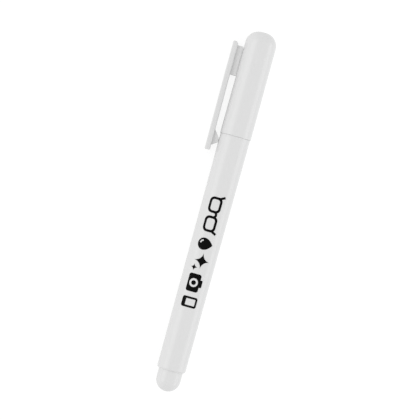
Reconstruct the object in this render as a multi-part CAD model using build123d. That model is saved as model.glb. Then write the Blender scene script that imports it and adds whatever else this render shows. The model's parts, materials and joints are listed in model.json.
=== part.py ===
"""Capped, press-to-wet lens cleaning pen: tank barrel, felt nib on a spring valve, cap with a pocket clip.

Every piece is turned or built in the pen's own frame: +Z runs along the axis from the tail (0) to the
cap's top, +X points out through the clip, and +Y faces the reader of the barrel. export_pen() then lays
the pen down: axis along X with the cap towards -X, and rolled until the clip's edge meets the table.
Lengths are in millimetres.
"""
from math import asin, atan2, cos, hypot, radians, sin
import os

from build123d import *

# ---- driving dimensions -------------------------------------------------------------------------
LENGTH = 134.0            # tail to cap top
RIM_Z = 95.02             # where the cap's rim stops, just short of the barrel
CAP_RIM_R = 5.69
CAP_TOP_R = 5.62
DOME_TOP_R = 9.6          # large arc over the cap's top
DOME_CORNER_R = 4.7       # arc that rounds it into the side
CAP_SEAT_R = 4.50         # cap's bore over the nib holder
CAP_LINER_R = 4.30        # cap's bore round the liner
CAP_STEP_Z = 106.8        # between the two bores
CAP_TOP_WALL = 1.3

BARREL_REAR_Z, BARREL_FRONT_Z = 7.85, 95.0
BARREL_REAR_R, BARREL_FRONT_R = 5.205, 5.48
BARREL_REAR_ROUND = 0.75
BORE_REAR_R, BORE_R = 4.22, 4.35
PLUG_SEAT_END_Z = 18.0    # end of the narrower rear bore
FLANGE_R, FLANGE_T = 4.75, 0.8

TAIL_R = 4.40             # exposed plug, which a cap also posts onto
PLUG_LENGTH = 17.0
PLUG_WALL = 1.05

HOLDER_REAR_Z = 83.0
HOLDER_SEAT_R = 4.40
HOLDER_SEAT_END_Z = 105.5
HOLDER_NECK_R = 3.50
HOLDER_NECK_END_Z = 109.5
HOLDER_TIP_R = 2.95
HOLDER_TIP_Z = 113.0
POCKET_R = 3.40           # holder's rear pocket, for the valve and the absorber
POCKET_END_Z = 103.5

NIB_R = 2.50
NIB_REAR_Z, NIB_TIP_Z = 98.6, 119.5
NIB_TIP_TOP_R = 2.7       # large arc over the nib's tip
NIB_TIP_CORNER_R = 2.1

HOUSING_REAR_Z, HOUSING_FRONT_Z = 79.5, 97.0
CHAMBER_R = 2.70
SEAT_WALL = 1.4
SEAT_HOLE_R = 1.45
RETAINER_T = 2.0
RETAINER_Z = 81.0
STEM_FLANGE_R, STEM_FLANGE_T = 2.2, 1.0
STEM_ROD_R, STEM_GUIDE_R = 1.0, 0.8
SEAL_T = 1.0
WIRE_R, COIL_R, COIL_TURNS = 0.20, 1.75, 7

CLIP_OUT = 9.80           # outer face of the clip, from the axis
CLIP_T = 1.96
CLIP_HALF_W = 2.30
CLIP_TOP_Z, CLIP_END_Z = 128.25, 88.1
CLIP_LEAN = 0.22          # how much nearer the barrel the strip is at its end
CLIP_TOP_BEVEL = 0.8      # on the strip's inner edge, at its top end
RIB_HALF_W = 1.25         # block and nub are a narrower rib than the strip
BLOCK_TOP_Z, BLOCK_END_Z = 127.0, 116.2
NUB_START_Z, NUB_END_Z = 95.7, 90.0
NUB_FLAT = (92.8, 91.5)   # the stretch that bears on the barrel
NUB_IN = 5.52             # its distance from the axis
EDGE_ROUND = 0.35
FOOT_HALF_W = 1.05        # the foot is let into the cap, and the block stands just clear of it
BLOCK_GAP = 0.14

CLEAR = 0.01              # between pressed-together pieces, on the radius
RUN_CLEAR = 0.06          # round the nib and other pieces that slide
FIT_GAP = 0.03            # round the clip's foot


# ---- tools --------------------------------------------------------------------------------------
def turned(*points):
    """A solid of revolution about Z, from the corners (radius, z) of its half section."""
    return revolve(make_face(Polyline(*[(r, 0, z) for r, z in points], close=True)), Axis.Z)


def ring(outer, inner, low, high):
    return turned((inner, low), (outer, low), (outer, high), (inner, high))


def rod(radius, low, high):
    return turned((0, low), (radius, low), (radius, high), (0, high))


def bead(radius, z, height, width=0.9):
    """A low rounded ring standing height proud of radius, to fuse onto a wall."""
    half = width / 2
    base = radius - 0.2
    section = make_face(
        Polyline((radius, 0, z - half), (base, 0, z - half), (base, 0, z + half), (radius, 0, z + half))
        + ThreePointArc((radius, 0, z + half), (radius + height, 0, z), (radius, 0, z - half))
    )
    return revolve(section, Axis.Z)


def slab(x_low, x_high, half_width, z_low, z_high):
    return Pos((x_low + x_high) / 2, 0, (z_low + z_high) / 2) * Box(
        x_high - x_low, 2 * half_width, z_high - z_low
    )


def edges_at(part, z, radius=None):
    """The round edges of a turned part at height z, and of that radius if one is given."""
    found = part.edges().filter_by(GeomType.CIRCLE).filter_by(lambda e: abs(e.center().Z - z) < 1e-4)
    return found if radius is None else found.filter_by(lambda e: abs(e.radius - radius) < 1e-4)


def dome(top_z, side_r, top_r, corner_r, base_z):
    """Solid under a two-radius dome: a top arc, then a corner arc that meets a wall of side_r."""
    corner_z = top_z - top_r + ((top_r - corner_r) ** 2 - (side_r - corner_r) ** 2) ** 0.5
    lean = atan2(side_r - corner_r, corner_z - (top_z - top_r))
    join = (top_r * sin(lean), 0, top_z - top_r + top_r * cos(lean))
    middle = (top_r * sin(lean / 2), 0, top_z - top_r + top_r * cos(lean / 2))
    turn = (lean + radians(90)) / 2
    corner = (side_r - corner_r + corner_r * sin(turn), 0, corner_z + corner_r * cos(turn))
    outline = (
        ThreePointArc((0, 0, top_z), middle, join)
        + ThreePointArc(join, corner, (side_r, 0, corner_z))
        + Polyline((side_r, 0, corner_z), (side_r, 0, base_z), (0, 0, base_z), (0, 0, top_z))
    )
    return revolve(make_face(outline), Axis.Z), corner_z


# ---- barrel and tail ----------------------------------------------------------------------------
def make_barrel():
    seat_z = BARREL_FRONT_Z - FLANGE_T
    body = turned(
        (BORE_REAR_R, BARREL_REAR_Z),
        (BARREL_REAR_R, BARREL_REAR_Z),
        (BARREL_FRONT_R, BARREL_FRONT_Z),
        (FLANGE_R, BARREL_FRONT_Z),
        (FLANGE_R, seat_z),
        (BORE_R, seat_z),
        (BORE_R, PLUG_SEAT_END_Z + 1),
        (BORE_REAR_R, PLUG_SEAT_END_Z),
    )
    body = fillet(edges_at(body, BARREL_REAR_Z, BARREL_REAR_R), BARREL_REAR_ROUND)
    return fillet(edges_at(body, BARREL_FRONT_Z, BARREL_FRONT_R), 0.10)


def make_tail_plug():
    insert_r = BORE_REAR_R - CLEAR
    inner_r = insert_r - PLUG_WALL
    outer = Pos(0, 0, TAIL_R) * Sphere(TAIL_R) + rod(TAIL_R, TAIL_R, BARREL_REAR_Z)
    outer += rod(insert_r, BARREL_REAR_Z, PLUG_LENGTH)
    outer = chamfer(edges_at(outer, PLUG_LENGTH), 0.4)
    outer -= Pos(0, 0, TAIL_R) * Sphere(inner_r) + rod(inner_r, TAIL_R, PLUG_LENGTH)
    for z in (11.0, 14.0):                                     # drain grooves between the sealing lands
        outer -= ring(insert_r + 1, insert_r - 0.25, z, z + 0.8)
    return outer


# ---- nib holder, nib and absorber ---------------------------------------------------------------
def make_nib_holder():
    seat_z = BARREL_FRONT_Z - FLANGE_T
    skirt_r = BORE_R - CLEAR
    neck_z = HOLDER_SEAT_END_Z + HOLDER_SEAT_R - HOLDER_NECK_R
    guide_r = NIB_R + RUN_CLEAR
    body = turned(
        (POCKET_R, HOLDER_REAR_Z),
        (skirt_r - 0.3, HOLDER_REAR_Z),
        (skirt_r, HOLDER_REAR_Z + 0.6),
        (skirt_r, seat_z),
        (FLANGE_R - CLEAR, seat_z),
        (FLANGE_R - CLEAR, BARREL_FRONT_Z),
        (HOLDER_SEAT_R, BARREL_FRONT_Z),
        (HOLDER_SEAT_R, HOLDER_SEAT_END_Z),
        (HOLDER_NECK_R, neck_z),
        (HOLDER_NECK_R, HOLDER_NECK_END_Z),
        (HOLDER_TIP_R, HOLDER_TIP_Z),
        (guide_r, HOLDER_TIP_Z),
        (guide_r, POCKET_END_Z),
        (POCKET_R, POCKET_END_Z),
    )
    body = fillet(edges_at(body, HOLDER_SEAT_END_Z, HOLDER_SEAT_R), 0.3)
    body += bead(HOLDER_SEAT_R, 98.6, 0.04)
    for z in (86.0, 90.0):                                     # grooves between the sealing lands
        body -= ring(skirt_r + 1, skirt_r - 0.25, z, z + 1.0)
    for angle in range(0, 360, 90):                            # air channels along the nib
        body -= Rot(0, 0, angle + 45) * slab(guide_r - 0.5, guide_r + 0.22, 0.3, POCKET_END_Z - 1, 114)
    return body


def make_nib():
    crown, side_z = dome(NIB_TIP_Z, NIB_R, NIB_TIP_TOP_R, NIB_TIP_CORNER_R, NIB_REAR_Z + 2)
    body = crown + rod(NIB_R, NIB_REAR_Z, side_z)
    return chamfer(edges_at(body, NIB_REAR_Z), 0.4)


def make_absorber_ring():
    """Felt sleeve that soaks up what the nib lets back."""
    return ring(POCKET_R - CLEAR, NIB_R + RUN_CLEAR, HOUSING_FRONT_Z + 0.1, POCKET_END_Z - 0.1)


# ---- valve --------------------------------------------------------------------------------------
def make_valve_housing():
    body = turned(
        (CHAMBER_R, HOUSING_REAR_Z),
        (POCKET_R - CLEAR - 0.4, HOUSING_REAR_Z),
        (POCKET_R - CLEAR, HOUSING_REAR_Z + 1.0),
        (POCKET_R - CLEAR, HOUSING_FRONT_Z),
        (SEAT_HOLE_R, HOUSING_FRONT_Z),
        (SEAT_HOLE_R, HOUSING_FRONT_Z - SEAT_WALL),
        (CHAMBER_R, HOUSING_FRONT_Z - SEAT_WALL),
    )
    for angle in (90, 270):                                    # side ports into the tank
        body -= Rot(0, 0, angle) * Pos(2.9, 0, 81.7) * Rot(0, 90, 0) * Cylinder(0.45, 2.5)
    return body


def make_spring_retainer():
    disc = ring(CHAMBER_R - CLEAR, STEM_GUIDE_R + 0.15, RETAINER_Z + 0.8, RETAINER_Z + RETAINER_T)
    disc += ring(CHAMBER_R - CLEAR, CHAMBER_R - 0.6, RETAINER_Z - 1.0, RETAINER_Z + 0.8)
    for angle in range(45, 360, 90):                           # flow holes
        disc -= Rot(0, 0, angle) * Pos(1.7, 0, RETAINER_Z + 1.4) * Cylinder(0.42, 2)
    for angle in (90, 270):                                    # in line with the housing's ports
        disc -= Rot(0, 0, angle) * Pos(2.4, 0, 81.7) * Rot(0, 90, 0) * Cylinder(0.45, 1.6)
    return disc


def stem_flange_z():
    return HOUSING_FRONT_Z - SEAT_WALL - 0.02 - SEAL_T


def make_valve_stem():
    top = stem_flange_z()
    body = rod(STEM_ROD_R, top, NIB_REAR_Z) + rod(STEM_FLANGE_R, top - STEM_FLANGE_T, top)
    body += rod(STEM_GUIDE_R, RETAINER_Z + 1.2, top - STEM_FLANGE_T)
    return chamfer(edges_at(body, RETAINER_Z + 1.2), 0.25)


def make_valve_seal():
    low = stem_flange_z()
    return fillet(
        edges_at(ring(STEM_FLANGE_R, STEM_ROD_R, low, low + SEAL_T), low + SEAL_T, STEM_FLANGE_R), 0.3
    )


def make_valve_spring():
    low = RETAINER_Z + RETAINER_T + WIRE_R
    high = stem_flange_z() - STEM_FLANGE_T - WIRE_R
    path = Helix((high - low) / COIL_TURNS, high - low, COIL_R)
    wire = sweep(Plane(origin=path @ 0, z_dir=path % 0) * Circle(WIRE_R), path=path, is_frenet=True)
    return Pos(0, 0, low) * wire


# ---- cap, liner and clip ------------------------------------------------------------------------
def foot_slab(gap):
    return slab(
        CAP_SEAT_R - 0.6, CAP_TOP_R + 0.3, FOOT_HALF_W + gap, BLOCK_END_Z + 1 - gap, BLOCK_TOP_Z - 1 + gap
    )


def cap_outer():
    crown, side_z = dome(LENGTH, CAP_TOP_R, DOME_TOP_R, DOME_CORNER_R, 126.0)
    skirt = turned((0, RIM_Z), (CAP_RIM_R, RIM_Z), (CAP_TOP_R, side_z), (0, side_z))
    skirt = fillet(edges_at(skirt, RIM_Z), 0.14)
    return crown + skirt


def cap_cavity():
    """The cap's inside: a seat for the nib holder, then a narrower bore for the liner under a dome."""
    narrow, _ = dome(
        LENGTH - CAP_TOP_WALL,
        CAP_LINER_R,
        DOME_TOP_R - CAP_TOP_WALL,
        DOME_CORNER_R - CAP_TOP_WALL,
        CAP_STEP_Z,
    )
    seat = turned(
        (0, RIM_Z),
        (CAP_SEAT_R + 0.25, RIM_Z),
        (CAP_SEAT_R, RIM_Z + 0.5),
        (CAP_SEAT_R, CAP_STEP_Z),
        (0, CAP_STEP_Z),
    )
    return narrow + seat


def make_cap_shell():
    lip = ring(CAP_SEAT_R + 0.3, CAP_SEAT_R - 0.05, 96.6, 97.3)   # clicks past the holder's bead
    return cap_outer() - cap_cavity() + lip - foot_slab(FIT_GAP)


def make_cap_liner():
    """Inner cup, pressed into the cap, that seals round the nib holder's neck."""
    low, top = 107.0, 121.4
    flange_r = CAP_LINER_R - CLEAR
    neck_r = HOLDER_NECK_R + RUN_CLEAR
    body = turned(
        (neck_r + 0.2, low),
        (flange_r, low),
        (flange_r, low + 2.2),
        (flange_r - 0.15, low + 2.4),
        (flange_r - 0.15, top - 2.0),
        (flange_r, top - 1.8),
        (flange_r, top),
        (0, top),
        (0, top - 1.0),
        (3.2, top - 1.0),
        (3.2, HOLDER_TIP_Z + 0.6),
        (neck_r, HOLDER_TIP_Z + 0.2),
        (neck_r, low + 0.3),
    )
    return body


def strip(z_low, z_high):
    """A stretch of the clip's strip, leaning in towards its free end below the block."""
    def lean(z):
        return CLIP_LEAN * max(0.0, BLOCK_END_Z - z) / (BLOCK_END_Z - CLIP_END_Z)

    outline = Polyline(
        (CLIP_OUT - lean(z_low), -CLIP_HALF_W, z_low),
        (CLIP_OUT - lean(z_high), -CLIP_HALF_W, z_high),
        (CLIP_OUT - CLIP_T - lean(z_high), -CLIP_HALF_W, z_high),
        (CLIP_OUT - CLIP_T - lean(z_low), -CLIP_HALF_W, z_low),
        close=True,
    )
    bar = extrude(make_face(outline), 2 * CLIP_HALF_W, dir=(0, 1, 0))
    long_edges = bar.edges().filter_by(lambda e: abs(e.length - (z_high - z_low)) < 0.05)
    return fillet(long_edges, EDGE_ROUND)


def make_clip_root():
    block = slab(CAP_TOP_R + BLOCK_GAP, CLIP_OUT - CLIP_T + 0.2, RIB_HALF_W, BLOCK_END_Z, BLOCK_TOP_Z)
    foot = foot_slab(0) - cap_cavity()
    inner = CLIP_OUT - CLIP_T
    corner = Polyline(
        (inner - 0.1, -CLIP_HALF_W - 1, CLIP_TOP_Z - CLIP_TOP_BEVEL - 0.1),
        (inner + CLIP_TOP_BEVEL + 0.1, -CLIP_HALF_W - 1, CLIP_TOP_Z + 0.1),
        (inner - 0.1, -CLIP_HALF_W - 1, CLIP_TOP_Z + 0.1),
        close=True,
    )
    bevel = extrude(make_face(corner), 2 * CLIP_HALF_W + 2, dir=(0, 1, 0))
    return strip(BLOCK_END_Z, CLIP_TOP_Z) - bevel + block + foot


def make_clip_arm():
    inner = CLIP_OUT - CLIP_T - CLIP_LEAN
    outline = Polyline(
        (inner + 0.4, -RIB_HALF_W, NUB_START_Z),
        (inner + 0.05, -RIB_HALF_W, NUB_START_Z),
        (NUB_IN, -RIB_HALF_W, NUB_FLAT[0]),
        (NUB_IN, -RIB_HALF_W, NUB_FLAT[1]),
        (inner, -RIB_HALF_W, NUB_END_Z),
        (inner + 0.4, -RIB_HALF_W, NUB_END_Z),
        close=True,
    )
    nub = extrude(make_face(outline), 2 * RIB_HALF_W, dir=(0, 1, 0))
    return strip(CLIP_END_Z, BLOCK_END_Z - 0.02) + nub


# ---- the pen, laid on a table -------------------------------------------------------------------
PIECES = {
    "barrel": make_barrel,
    "tail_plug": make_tail_plug,
    "nib_holder": make_nib_holder,
    "absorber_ring": make_absorber_ring,
    "valve_housing": make_valve_housing,
    "spring_retainer": make_spring_retainer,
    "valve_spring": make_valve_spring,
    "valve_stem": make_valve_stem,
    "valve_seal": make_valve_seal,
    "nib": make_nib,
    "cap_shell": make_cap_shell,
    "cap_liner": make_cap_liner,
    "clip_root": make_clip_root,
    "clip_arm": make_clip_arm,
}


def rest_roll():
    """Angle below level at which the clip points when its lower edge and the cap both rest on the table."""
    out, side = CLIP_OUT - EDGE_ROUND, CLIP_HALF_W - EDGE_ROUND
    return asin((CAP_RIM_R - EDGE_ROUND) / hypot(out, side)) - atan2(side, out)


def export_pen():
    roll = rest_roll()
    corner_out, corner_side = CLIP_OUT - EDGE_ROUND, CLIP_HALF_W - EDGE_ROUND
    clip_reach = corner_out * cos(roll) + corner_side * sin(roll) + EDGE_ROUND
    middle_y = (clip_reach - CAP_RIM_R) / 2                    # centres the laid pen on the origin
    out = (0, -cos(roll), -sin(roll))
    laid = Plane(origin=(LENGTH / 2, middle_y, CAP_RIM_R), x_dir=out, z_dir=(-1, 0, 0))
    os.makedirs("parts", exist_ok=True)
    for name, make in PIECES.items():
        export_step(make().moved(laid.location), f"parts/{name}.step")


export_pen()
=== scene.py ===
"""Looks for the lens cleaning pen, on a pale floor in soft light.

The CAD pieces get their materials here. The clip and the valve's spring, which bend and shorten on the
real pen, are made here in their rest shapes, and so is the print on the barrel.
"""
import json
import math

import bmesh
import bpy
from mathutils import Matrix, Vector

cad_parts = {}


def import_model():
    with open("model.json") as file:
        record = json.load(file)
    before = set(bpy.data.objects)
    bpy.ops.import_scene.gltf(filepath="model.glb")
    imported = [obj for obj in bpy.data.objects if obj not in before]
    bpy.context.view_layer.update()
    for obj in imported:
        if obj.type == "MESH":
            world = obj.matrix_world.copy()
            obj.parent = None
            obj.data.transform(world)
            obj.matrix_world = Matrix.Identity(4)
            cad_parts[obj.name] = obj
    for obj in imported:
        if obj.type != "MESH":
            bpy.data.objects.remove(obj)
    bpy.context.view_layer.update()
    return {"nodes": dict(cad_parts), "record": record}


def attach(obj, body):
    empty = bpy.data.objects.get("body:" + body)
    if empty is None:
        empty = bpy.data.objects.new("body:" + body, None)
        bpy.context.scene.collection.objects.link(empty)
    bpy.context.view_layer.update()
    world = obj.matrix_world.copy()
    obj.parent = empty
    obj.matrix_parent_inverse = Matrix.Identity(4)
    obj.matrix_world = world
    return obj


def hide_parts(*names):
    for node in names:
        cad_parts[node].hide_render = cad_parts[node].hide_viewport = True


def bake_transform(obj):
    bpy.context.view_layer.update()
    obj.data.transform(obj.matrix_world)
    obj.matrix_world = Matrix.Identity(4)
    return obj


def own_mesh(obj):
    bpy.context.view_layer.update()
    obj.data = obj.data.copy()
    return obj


MM = 0.001

# ---- the pen's own frame: u from the tail along the axis, out through the clip, up to the reader ----
ROLL = math.radians(21.943)
TAIL_X = 67.0
AXIS_Y, AXIS_Z = 2.077, 5.69
AWAY = Vector((-1, 0, 0))                                     # towards the cap
OUT = Vector((0, -math.cos(ROLL), -math.sin(ROLL)))           # through the clip
FACE = Vector((0, -math.sin(ROLL), math.cos(ROLL)))           # towards the reader of the barrel


def at(out, face, u):
    """Point of the shared frame, in metres, for one given in the pen's own frame in millimetres."""
    foot = Vector((TAIL_X, AXIS_Y, AXIS_Z)) + AWAY * u
    return (foot + OUT * out + FACE * face) * MM


# ---- materials ------------------------------------------------------------------------------------
def new_material(name, color, rough, **sockets):
    mat = bpy.data.materials.new(name)
    mat.use_nodes = True
    shader = mat.node_tree.nodes["Principled BSDF"]
    shader.inputs["Base Color"].default_value = (*color, 1)
    shader.inputs["Roughness"].default_value = rough
    for socket, value in sockets.items():
        shader.inputs[socket.replace("_", " ")].default_value = value
    return mat


def add_bump(mat, scale, strength, distance, detail=3.0, stretch=(1, 1, 1)):
    """Fine surface grain from a noise, in object coordinates; distance is in metres."""
    tree = mat.node_tree
    nodes, links = tree.nodes, tree.links
    coords = nodes.new("ShaderNodeTexCoord")
    mapping = nodes.new("ShaderNodeMapping")
    mapping.inputs["Scale"].default_value = stretch
    noise = nodes.new("ShaderNodeTexNoise")
    noise.inputs["Scale"].default_value = scale
    noise.inputs["Detail"].default_value = detail
    bump = nodes.new("ShaderNodeBump")
    bump.inputs["Strength"].default_value = strength
    bump.inputs["Distance"].default_value = distance
    links.new(coords.outputs["Object"], mapping.inputs["Vector"])
    links.new(mapping.outputs["Vector"], noise.inputs["Vector"])
    links.new(noise.outputs["Fac"], bump.inputs["Height"])
    links.new(bump.outputs["Normal"], nodes["Principled BSDF"].inputs["Normal"])


def vary_roughness(mat, noise_scale, low, high):
    """Slightly uneven gloss, as a moulded or handled surface has."""
    tree = mat.node_tree
    coords = tree.nodes.new("ShaderNodeTexCoord")
    noise = tree.nodes.new("ShaderNodeTexNoise")
    noise.inputs["Scale"].default_value = noise_scale
    spread = tree.nodes.new("ShaderNodeMapRange")
    spread.inputs["From Min"].default_value = 0.3
    spread.inputs["From Max"].default_value = 0.7
    spread.inputs["To Min"].default_value = low
    spread.inputs["To Max"].default_value = high
    tree.links.new(coords.outputs["Object"], noise.inputs["Vector"])
    tree.links.new(noise.outputs["Fac"], spread.inputs["Value"])
    tree.links.new(spread.outputs["Result"], tree.nodes["Principled BSDF"].inputs["Roughness"])


def mottle(mat, scale, dark, light):
    """Base colour that wanders between two close tones."""
    tree = mat.node_tree
    coords = tree.nodes.new("ShaderNodeTexCoord")
    noise = tree.nodes.new("ShaderNodeTexNoise")
    noise.inputs["Scale"].default_value = scale
    noise.inputs["Detail"].default_value = 6.0
    ramp = tree.nodes.new("ShaderNodeValToRGB")
    ramp.color_ramp.elements[0].position = 0.32
    ramp.color_ramp.elements[1].position = 0.68
    ramp.color_ramp.elements[0].color = (*dark, 1)
    ramp.color_ramp.elements[1].color = (*light, 1)
    tree.links.new(coords.outputs["Object"], noise.inputs["Vector"])
    tree.links.new(noise.outputs["Fac"], ramp.inputs["Fac"])
    tree.links.new(ramp.outputs["Color"], tree.nodes["Principled BSDF"].inputs["Base Color"])


WHITE, INNER_WHITE = 0.765, 0.74
FELT_DETAIL = 8.0


def moulded(name, tone, smoothest, roughest):
    """Glossy injection-moulded plastic of one grey tone."""
    mat = new_material(name, (tone, tone, tone), (smoothest + roughest) / 2)
    add_bump(mat, scale=5200, strength=0.10, distance=0.00002)
    vary_roughness(mat, noise_scale=240, low=smoothest, high=roughest)
    return mat


def make_materials():
    """One material for each slot of the record, by the slot's name."""
    mats = {
        "white_barrel": moulded("white_barrel", WHITE, smoothest=0.19, roughest=0.24),
        "white_cap": moulded("white_cap", WHITE, smoothest=0.18, roughest=0.23),
        "white_plug": moulded("white_plug", WHITE, smoothest=0.20, roughest=0.26),
        "white_holder": moulded("white_holder", INNER_WHITE, smoothest=0.28, roughest=0.36),
        "natural_plastic": new_material("natural_plastic", (0.66, 0.66, 0.62), 0.35),
        "nib_felt": new_material("nib_felt", (0.72, 0.71, 0.67), 0.95),
        "absorber_felt": new_material("absorber_felt", (0.74, 0.73, 0.70), 0.95),
        "seal_rubber": new_material("seal_rubber", (0.03, 0.03, 0.032), 0.55),
        "spring_steel": new_material("spring_steel", (0.55, 0.55, 0.56), 0.22, Metallic=1.0),
        "black_ink": new_material("black_ink", (0.0025, 0.0025, 0.0025), 0.50, Specular_IOR_Level=0.06),
    }
    nib, absorber, steel = mats["nib_felt"], mats["absorber_felt"], mats["spring_steel"]
    add_bump(mats["natural_plastic"], scale=4000, strength=0.12, distance=0.00002)
    mottle(nib, scale=3200, dark=(0.60, 0.59, 0.54), light=(0.80, 0.79, 0.75))
    add_bump(nib, scale=5200, strength=0.9, distance=0.00012, detail=FELT_DETAIL, stretch=(0.25, 1, 1))
    mottle(absorber, scale=2600, dark=(0.64, 0.63, 0.60), light=(0.80, 0.79, 0.76))
    add_bump(absorber, scale=4200, strength=0.9, distance=0.00015, detail=FELT_DETAIL, stretch=(0.5, 1, 1))
    add_bump(steel, scale=9000, strength=0.10, distance=0.00001, detail=2.0, stretch=(0.05, 1, 1))
    add_bump(mats["black_ink"], scale=7000, strength=0.15, distance=0.00001)
    return mats


# ---- the clip, one piece that bends on the pen, made here in its rest shape -------------------------
# Millimetres in the pen's own frame: distances out from the axis, and places along it as u.
CLIP_OUT, CLIP_T, CLIP_HALF_W = 9.80, 1.96, 2.30
CLIP_TOP, CLIP_END, CLIP_LEAN = 128.25, 88.1, 0.22
CLIP_ROUND, END_ROUND, TOP_BEVEL = 0.35, 0.25, 0.8
BLOCK_TOP, BLOCK_END, BLOCK_GAP, BLOCK_EASE = 127.0, 116.2, 0.14, 0.08
RIB_HALF_W, FOOT_HALF_W, RIB_ROUND = 1.25, 1.05, 0.1
FOOT_INSET = 1                                                # shorter than the block at each end
NUB_IN = 5.52
CAP_R, CAP_BORE_R = 5.62, 4.50
BLOCK_SUNK, FOOT_SUNK, NUB_SUNK = 0.3, 0.2, 0.5               # about how far each goes into what it joins
END_STEPS, STRIP_STEPS, BLOCK_STEPS = 4, 100, 12


def loft(bm, sections):
    """Closed skin through equal-length rings of points, capped at both ends."""
    rings = [[bm.verts.new(p) for p in ring] for ring in sections]
    count = len(rings[0])
    for a, b in zip(rings, rings[1:]):
        for i in range(count):
            j = (i + 1) % count
            bm.faces.new((a[i], a[j], b[j], b[i]))
    bm.faces.new(list(reversed(rings[0])))
    bm.faces.new(rings[-1])


def rounded_rectangle(x_low, x_high, half_width, radius, steps=5):
    """Corner-rounded section in the (out, face) plane."""
    corners = (
        (x_high, half_width, 0),
        (x_low, half_width, 90),
        (x_low, -half_width, 180),
        (x_high, -half_width, 270),
    )
    points = []
    for x, y, start in corners:
        cx = x - math.copysign(radius, x - (x_low + x_high) / 2)
        cy = y - math.copysign(radius, y)
        for k in range(steps + 1):
            turn = math.radians(start + 90 * k / steps)
            points.append((cx + radius * math.cos(turn), cy + radius * math.sin(turn)))
    return points


def lean(u):
    """How far the strip leans in towards the barrel at u."""
    return CLIP_LEAN * max(0.0, BLOCK_END - u) / (BLOCK_END - CLIP_END)


def strip_sections():
    """Sections of the strip from its free end to its top, with rounded ends and a bevel inside the top."""
    turns = [math.radians(90 * k / END_STEPS) for k in range(END_STEPS)]
    middle = CLIP_TOP - CLIP_END - 2 * END_ROUND
    stations = [CLIP_END + END_ROUND * (1 - math.cos(turn)) for turn in turns]
    stations += [CLIP_END + END_ROUND + middle * k / STRIP_STEPS for k in range(STRIP_STEPS + 1)]
    stations += [CLIP_TOP - END_ROUND * (1 - math.cos(turn)) for turn in reversed(turns)]
    sections = []
    for u in stations:
        near = min(u - CLIP_END, CLIP_TOP - u, END_ROUND)
        inset = END_ROUND - math.sqrt(max(0.0, END_ROUND ** 2 - (END_ROUND - near) ** 2))
        outer = CLIP_OUT - lean(u)
        bevel = max(0.0, u - (CLIP_TOP - TOP_BEVEL))
        inner = outer - CLIP_T + max(inset, bevel)
        ring = rounded_rectangle(inner, outer - inset, CLIP_HALF_W - inset, CLIP_ROUND)
        sections.append([at(x, y, u) for x, y in ring])
    return sections


def rib_sections(profile, top):
    """Sections of a block, foot or nub, from (u, inner face, half width) to a common outer face."""
    sections = []
    for u, low, half in profile:
        sections.append([at(x, y, u) for x, y in rounded_rectangle(low, top, half, RIB_ROUND)])
    return sections


def shell(name, sections):
    """A closed object of its own, lofted through the sections."""
    bm = bmesh.new()
    loft(bm, sections)
    bmesh.ops.recalc_face_normals(bm, faces=bm.faces)
    mesh = bpy.data.meshes.new(name)
    bm.to_mesh(mesh)
    bm.free()
    obj = bpy.data.objects.new(name, mesh)
    bpy.context.collection.objects.link(obj)
    return obj


def unite(base, others):
    """Joins closed pieces to base as one skin, so that no face is left inside."""
    for other in others:
        joined = base.modifiers.new("join", "BOOLEAN")
        joined.operation = "UNION"
        joined.solver = "EXACT"
        joined.object = other
        bpy.context.view_layer.update()
        graph = bpy.context.evaluated_depsgraph_get()
        mesh = bpy.data.meshes.new_from_object(base.evaluated_get(graph))
        base.modifiers.clear()
        base.data = mesh
        bpy.data.objects.remove(other)


def block_sections():
    """The block between the strip and the cap, with its end edges eased."""
    seat = CAP_R + BLOCK_GAP
    start = BLOCK_END + BLOCK_EASE
    length = BLOCK_TOP - BLOCK_END - 2 * BLOCK_EASE
    profile = [(BLOCK_END, seat + BLOCK_EASE, RIB_HALF_W - BLOCK_EASE)]
    profile += [(start + length * k / BLOCK_STEPS, seat, RIB_HALF_W) for k in range(BLOCK_STEPS + 1)]
    profile.append((BLOCK_TOP, seat + BLOCK_EASE, RIB_HALF_W - BLOCK_EASE))
    return rib_sections(profile, CLIP_OUT - CLIP_T + BLOCK_SUNK)


def foot_sections():
    """The narrower foot that goes from the block through the cap's wall."""
    ends = (BLOCK_END + FOOT_INSET, BLOCK_TOP - FOOT_INSET)
    profile = [(u, CAP_BORE_R, FOOT_HALF_W) for u in ends]
    return rib_sections(profile, CAP_R + BLOCK_GAP + FOOT_SUNK)


def nub_sections():
    """The wedge inside the free end: a steep ramp, a short flat close to the barrel, and a long ramp."""
    face = CLIP_OUT - CLIP_T - CLIP_LEAN
    steep = [(90.02, face + 0.02), (90.4, face - 0.55), (90.9, face - 1.28), (91.3, face - 1.88)]
    flat = [(91.55, NUB_IN + 0.03), (91.9, NUB_IN), (92.5, NUB_IN), (92.85, NUB_IN + 0.05)]
    gentle = [(93.5, face - 1.62), (94.3, face - 1.02), (95.1, face - 0.40), (95.68, face + 0.02)]
    return rib_sections([(u, low, RIB_HALF_W) for u, low in steep + flat + gentle], face + NUB_SUNK)


def make_clip():
    """The strip with its block, foot and nub, as one closed skin."""
    clip = shell("clip", strip_sections())
    ribs = {"block": block_sections(), "foot": foot_sections(), "nub": nub_sections()}
    unite(clip, [shell(name, sections) for name, sections in ribs.items()])
    smooth_by_angle(clip, degrees=38)
    return clip


def smooth_by_angle(obj, degrees):
    """Smooth faces, with an edge kept sharp where its two faces turn by more than the angle."""
    bm = bmesh.new()
    bm.from_mesh(obj.data)
    limit = math.radians(degrees)
    for face in bm.faces:
        face.smooth = True
    for edge in bm.edges:
        edge.smooth = len(edge.link_faces) == 2 and edge.calc_face_angle(0.0) < limit
    bm.to_mesh(obj.data)
    bm.free()


# ---- the valve's spring, which shortens on the pen as the nib goes in, made here at full length -----
SPRING_LOW, SPRING_HIGH = 83.0, 93.58
WIRE_R, COIL_R, COIL_TURNS = 0.20, 1.75, 7
STEPS_PER_TURN, STEPS_ROUND_WIRE = 40, 12


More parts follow.
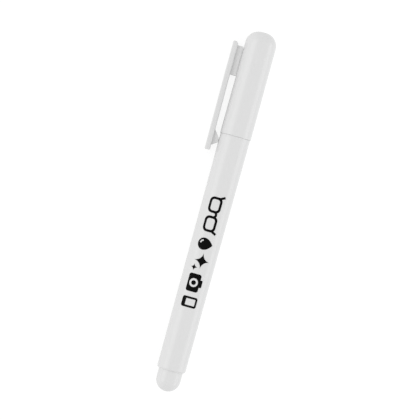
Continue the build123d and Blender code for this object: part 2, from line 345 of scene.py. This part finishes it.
def make_spring():
    """The plain coil, as a wire whose section stays square to its helix."""
    rise = (SPRING_HIGH - SPRING_LOW - 2 * WIRE_R) / COIL_TURNS
    slope = math.atan2(rise, math.tau * COIL_R)
    sections = []
    for k in range(COIL_TURNS * STEPS_PER_TURN + 1):
        turn = math.tau * k / STEPS_PER_TURN
        u = SPRING_LOW + WIRE_R + rise * k / STEPS_PER_TURN
        ring = []
        for j in range(STEPS_ROUND_WIRE):
            around = math.tau * j / STEPS_ROUND_WIRE
            reach = COIL_R + WIRE_R * math.cos(around)
            side = WIRE_R * math.sin(around)
            out = reach * math.cos(turn) + side * math.sin(slope) * math.sin(turn)
            face = reach * math.sin(turn) - side * math.sin(slope) * math.cos(turn)
            ring.append(at(out, face, u + side * math.cos(slope)))
        sections.append(ring)
    spring = shell("coil_spring", sections)
    smooth_by_angle(spring, degrees=50)
    return spring


# ---- the printed pictograms -------------------------------------------------------------------------
# Outlines are closed loops of (along, across) in millimetres; along runs from the cap end to the tail.
def ellipse(x, y, rx, ry, steps=48):
    turns = [math.tau * k / steps for k in range(steps)]
    return [(x + rx * math.cos(turn), y + ry * math.sin(turn)) for turn in turns]


def soft_box(x, y, half_x, half_y, radius, steps=8):
    """Rectangle with rounded corners."""
    points = []
    for sx, sy, start in ((1, 1, 0), (-1, 1, 90), (-1, -1, 180), (1, -1, 270)):
        cx = x + sx * (half_x - radius)
        cy = y + sy * (half_y - radius)
        for k in range(steps + 1):
            turn = math.radians(start + 90 * k / steps)
            points.append((cx + radius * math.cos(turn), cy + radius * math.sin(turn)))
    return points


def stroke(points, width):
    """Outline of an open line of even width with square ends."""
    left, right = [], []
    for k, (x, y) in enumerate(points):
        ax, ay = points[max(k - 1, 0)]
        bx, by = points[min(k + 1, len(points) - 1)]
        size = math.hypot(bx - ax, by - ay)
        nx, ny = -(by - ay) / size * width / 2, (bx - ax) / size * width / 2
        left.append((x + nx, y + ny))
        right.append((x - nx, y - ny))
    return left + right[::-1]


def arc(x, y, radius, start, end, steps=16):
    turns = [math.radians(start + (end - start) * k / steps) for k in range(steps + 1)]
    return [(x + radius * math.cos(a), y + radius * math.sin(a)) for a in turns]


def droplet(x, y, radius, height, steps=40):
    """A drop with its point up: a circle whose upper half is drawn out to a tip."""
    fullness = 0.55
    points = []
    for k in range(steps):
        turn = math.tau * k / steps - math.pi / 2
        px, py = radius * math.cos(turn), radius * math.sin(turn)
        if py > 0:
            rise = py / radius
            px *= (1 - rise) ** fullness * (1 + fullness * rise)
            py = rise * (height - radius)
        points.append((x + px, y + py))
    return points


def sparkle(x, y, reach, steps=10):
    """Four-pointed star with hollowed sides."""
    hollow = 1.75
    points = []
    for quarter in range(4):
        a, b = math.radians(90 * quarter), math.radians(90 * quarter + 90)
        for k in range(steps):
            t = k / steps
            px = reach * ((1 - t) ** hollow * math.cos(a) + t ** hollow * math.cos(b))
            py = reach * ((1 - t) ** hollow * math.sin(a) + t ** hollow * math.sin(b))
            points.append((x + px, y + py))
    return points


# Each pictogram is a list of (outline, holes) pairs.
def spectacles():
    """Two rimmed lenses, the bridge between them and the two side arms."""
    lens_y, line = -0.25, 0.85
    shapes = []
    for x in (3.3, 10.3):
        rim = soft_box(x, lens_y, 2.95, 2.35, radius=1.7)
        shapes.append((rim, [soft_box(x, lens_y, 2.05, 1.45, radius=0.9)]))
    shapes.append((stroke(arc(6.8, 0.0, 1.0, 10, 170), line), []))
    shapes.append((stroke([(0.75, 1.1), (-0.05, 2.75)], line), []))
    shapes.append((stroke([(12.85, 1.1), (13.65, 2.75)], line), []))
    return shapes


def drop():
    """A drop with a gleam in it."""
    x, y = 17.7, -0.55
    gleam = stroke(arc(x, y, 1.3, 195, 262), 0.5)
    return [(droplet(x, y, radius=2.2, height=5.5), [gleam])]


def gleams():
    """A large and a small four-pointed star."""
    return [(sparkle(23.9, 0.45, reach=2.9), []), (sparkle(26.6, -1.75, reach=1.35), [])]


def photo_camera():
    """A body with a round lens in it, and a raised viewfinder."""
    x, lens_y = 32.1, -0.35
    body = soft_box(x, lens_y, 3.3, 2.3, radius=0.8)
    shapes = [(body, [ellipse(x, lens_y, 1.6, 1.6)])]
    shapes.append((ellipse(x, lens_y, 0.85, 0.85), []))
    shapes.append((soft_box(x, 2.2, 1.35, 0.65, radius=0.35), []))
    return shapes


def telephone():
    """An upright body with its screen left open."""
    x = 39.2
    body = soft_box(x, 0.0, 1.95, 2.85, radius=0.75)
    return [(body, [soft_box(x, 0.35, 1.2, 1.75, radius=0.2)])]


# Millimetres: where the print starts, its height over the barrel, its shift round towards the clip,
# and the radius that its width is wrapped on.
PRINT_START_U, PRINT_RAISE, PRINT_TO_CLIP, PRINT_WRAP_R = 72.7, 0.018, 0.2, 5.35
PRINT_THICK = 0.03
BAND_WIDTH, BANDS_EACH_SIDE = 0.25, 12                        # the flat print is cut so that it can wrap
WELD = 0.003                                                  # points closer than this become one
REAR_U, REAR_R = 7.8, 5.205                                   # two places on the barrel's taper
FRONT_U, FRONT_R = 95.0, 5.48


def barrel_radius(u):
    return REAR_R + (FRONT_R - REAR_R) * (u - REAR_U) / (FRONT_U - REAR_U)


def flat_print():
    """The pictograms, filled, in one flat mesh in millimetres."""
    curve = bpy.data.curves.new("print_outline", "CURVE")
    curve.dimensions = "2D"
    curve.fill_mode = "BOTH"
    flat = bpy.data.objects.new("print_outline", curve)
    bpy.context.collection.objects.link(flat)
    meshes = []
    for outline, holes in spectacles() + drop() + gleams() + photo_camera() + telephone():
        curve.splines.clear()
        for loop in [outline] + holes:
            spline = curve.splines.new("POLY")
            spline.points.add(len(loop) - 1)
            for point, (x, y) in zip(spline.points, loop):
                point.co = (x, y, 0, 1)
            spline.use_cyclic_u = True
        flat.update_tag()
        bpy.context.view_layer.update()
        graph = bpy.context.evaluated_depsgraph_get()
        meshes.append(bpy.data.meshes.new_from_object(flat.evaluated_get(graph)))
    bpy.data.objects.remove(flat)
    bm = bmesh.new()
    for mesh in meshes:
        bm.from_mesh(mesh)
    return bm


def make_print():
    """Cuts the flat print into narrow bands and wraps it on the barrel as a thin film of ink."""
    bm = flat_print()
    for step in range(-BANDS_EACH_SIDE, BANDS_EACH_SIDE + 1):
        everything = bm.verts[:] + bm.edges[:] + bm.faces[:]
        cut = (0, step * BAND_WIDTH, 0)
        bmesh.ops.bisect_plane(bm, geom=everything, plane_co=cut, plane_no=(0, 1, 0))
    bmesh.ops.remove_doubles(bm, verts=bm.verts, dist=WELD)
    bmesh.ops.dissolve_degenerate(bm, edges=bm.edges, dist=WELD)
    for vert in bm.verts:
        along, across, _ = vert.co
        u = PRINT_START_U - along
        turn = (across - PRINT_TO_CLIP) / PRINT_WRAP_R
        radius = barrel_radius(u) + PRINT_RAISE
        vert.co = at(-radius * math.sin(turn), radius * math.cos(turn), u)
    bmesh.ops.recalc_face_normals(bm, faces=bm.faces)
    mesh = bpy.data.meshes.new("barrel_print")
    bm.to_mesh(mesh)
    bm.free()
    ink = bpy.data.objects.new("barrel_print", mesh)
    bpy.context.collection.objects.link(ink)
    film = ink.modifiers.new("film", "SOLIDIFY")
    film.thickness = PRINT_THICK * MM
    film.offset = 0.0
    return ink


# ---- floor, light and camera ------------------------------------------------------------------------
FLOOR_SIZE, FLOOR_DROP = 8, 0.00002                           # metres; the drop keeps it off the pen
BOX_DISTANCE, BOX_LENGTH = 1.2, 1.6                           # metres from the pen and along it
CAMERA_TILT = 15.43                                           # degrees; the pen leans in the picture
CAMERA_AIM_U, CAMERA_RIGHT, CAMERA_UP = 67.0, -1.66, 0.65     # mm: place on the axis, then the shift
CAMERA_DISTANCE, CAMERA_LENS = 0.72, 171.3                    # metres from the axis; millimetres


def pale_shader(tree, color, glow):
    """A matt grey that also gives light of its own."""
    shader = tree.nodes.new("ShaderNodeBsdfPrincipled")
    shader.inputs["Base Color"].default_value = (color, color, color, 1)
    shader.inputs["Roughness"].default_value = 1.0
    shader.inputs["Specular IOR Level"].default_value = 0.0
    shader.inputs["Emission Color"].default_value = (1, 1, 1, 1)
    shader.inputs["Emission Strength"].default_value = glow
    return shader


def make_floor():
    """A pale floor that looks near white with a faint contact shadow, and gives back a softer light."""
    bpy.ops.mesh.primitive_plane_add(size=FLOOR_SIZE, location=(0, 0, -FLOOR_DROP))
    floor = bpy.context.object
    floor.name = "floor"
    mat = bpy.data.materials.new("pale_floor")
    mat.use_nodes = True
    tree = mat.node_tree
    tree.nodes.clear()
    rays = tree.nodes.new("ShaderNodeLightPath")
    mix = tree.nodes.new("ShaderNodeMixShader")
    output = tree.nodes.new("ShaderNodeOutputMaterial")
    tree.links.new(rays.outputs["Is Camera Ray"], mix.inputs[0])
    by_bounce = pale_shader(tree, color=0.45, glow=0.46)
    by_eye = pale_shader(tree, color=0.23, glow=0.83)
    tree.links.new(by_bounce.outputs["BSDF"], mix.inputs[1])
    tree.links.new(by_eye.outputs["BSDF"], mix.inputs[2])
    tree.links.new(mix.outputs["Shader"], output.inputs["Surface"])
    floor.data.materials.append(mat)


def add_softbox(name, side_angle, width, radiance):
    """A panel beside the pen, side_angle degrees from the reader towards the side away from the clip."""
    turn = math.radians(side_angle)
    middle = Vector((0, AXIS_Y * MM, AXIS_Z * MM))
    away = (FACE * math.cos(turn) - OUT * math.sin(turn)).normalized()
    light = bpy.data.lights.new(name, "AREA")
    light.shape = "RECTANGLE"
    light.size = width
    light.size_y = BOX_LENGTH
    light.energy = radiance * math.pi * width * BOX_LENGTH
    panel = bpy.data.objects.new(name, light)
    side = AWAY.cross(away).normalized()
    rotation = Matrix((side, AWAY, away)).transposed().to_4x4()
    panel.matrix_world = Matrix.Translation(middle + away * BOX_DISTANCE) @ rotation
    bpy.context.collection.objects.link(panel)


def make_light():
    """A white surround, brighter to the camera than to the pen, and a panel on each side."""
    world = bpy.data.worlds.new("studio")
    bpy.context.scene.world = world
    world.use_nodes = True
    tree = world.node_tree
    rays = tree.nodes.new("ShaderNodeLightPath")
    strength = tree.nodes.new("ShaderNodeMapRange")
    strength.inputs["To Min"].default_value = 0.80
    strength.inputs["To Max"].default_value = 1.06
    tree.links.new(rays.outputs["Is Camera Ray"], strength.inputs["Value"])
    tree.links.new(strength.outputs["Result"], tree.nodes["Background"].inputs["Strength"])
    tree.nodes["Background"].inputs["Color"].default_value = (1, 1, 1, 1)
    add_softbox("right_box", side_angle=80, width=0.72, radiance=1.0)
    add_softbox("left_box", side_angle=-52, width=0.8, radiance=0.92)


def make_camera():
    """A long lens that sees the clip in profile, turned so that the pen leans in the picture."""
    tilt = math.radians(CAMERA_TILT)
    right = -OUT * math.cos(tilt) + AWAY * math.sin(tilt)
    up = AWAY * math.cos(tilt) + OUT * math.sin(tilt)
    middle = at(0, 0, CAMERA_AIM_U) + (right * CAMERA_RIGHT + up * CAMERA_UP) * MM
    camera = bpy.data.cameras.new("camera")
    camera.lens = CAMERA_LENS
    camera.sensor_width = 36
    camera.clip_start = 0.02
    view = bpy.data.objects.new("camera", camera)
    rotation = Matrix((right, up, FACE)).transposed().to_4x4()
    view.matrix_world = Matrix.Translation(middle + FACE * CAMERA_DISTANCE) @ rotation
    bpy.context.collection.objects.link(view)
    bpy.context.scene.camera = view


# ---- build ------------------------------------------------------------------------------------------
def main():
    """Dresses the CAD pieces, adds the three made here, and sets the stage."""
    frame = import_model()
    mats = make_materials()
    for part in frame["record"]["subparts"]:
        node = frame["nodes"][part["node"]]
        node.data.materials.clear()
        node.data.materials.append(mats[part["material_slot"]])
    clip = make_clip()
    clip.data.materials.append(mats["white_cap"])
    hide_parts("clip_root", "clip_arm")
    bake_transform(clip)
    spring = make_spring()
    spring.data.materials.append(mats["spring_steel"])
    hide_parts("valve_spring")
    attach(spring, "barrel")
    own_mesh(spring)
    ink = make_print()
    ink.data.materials.append(mats["black_ink"])
    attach(ink, "barrel")
    make_floor()
    make_light()
    make_camera()
    bpy.context.scene.view_settings.view_transform = "Standard"


main()
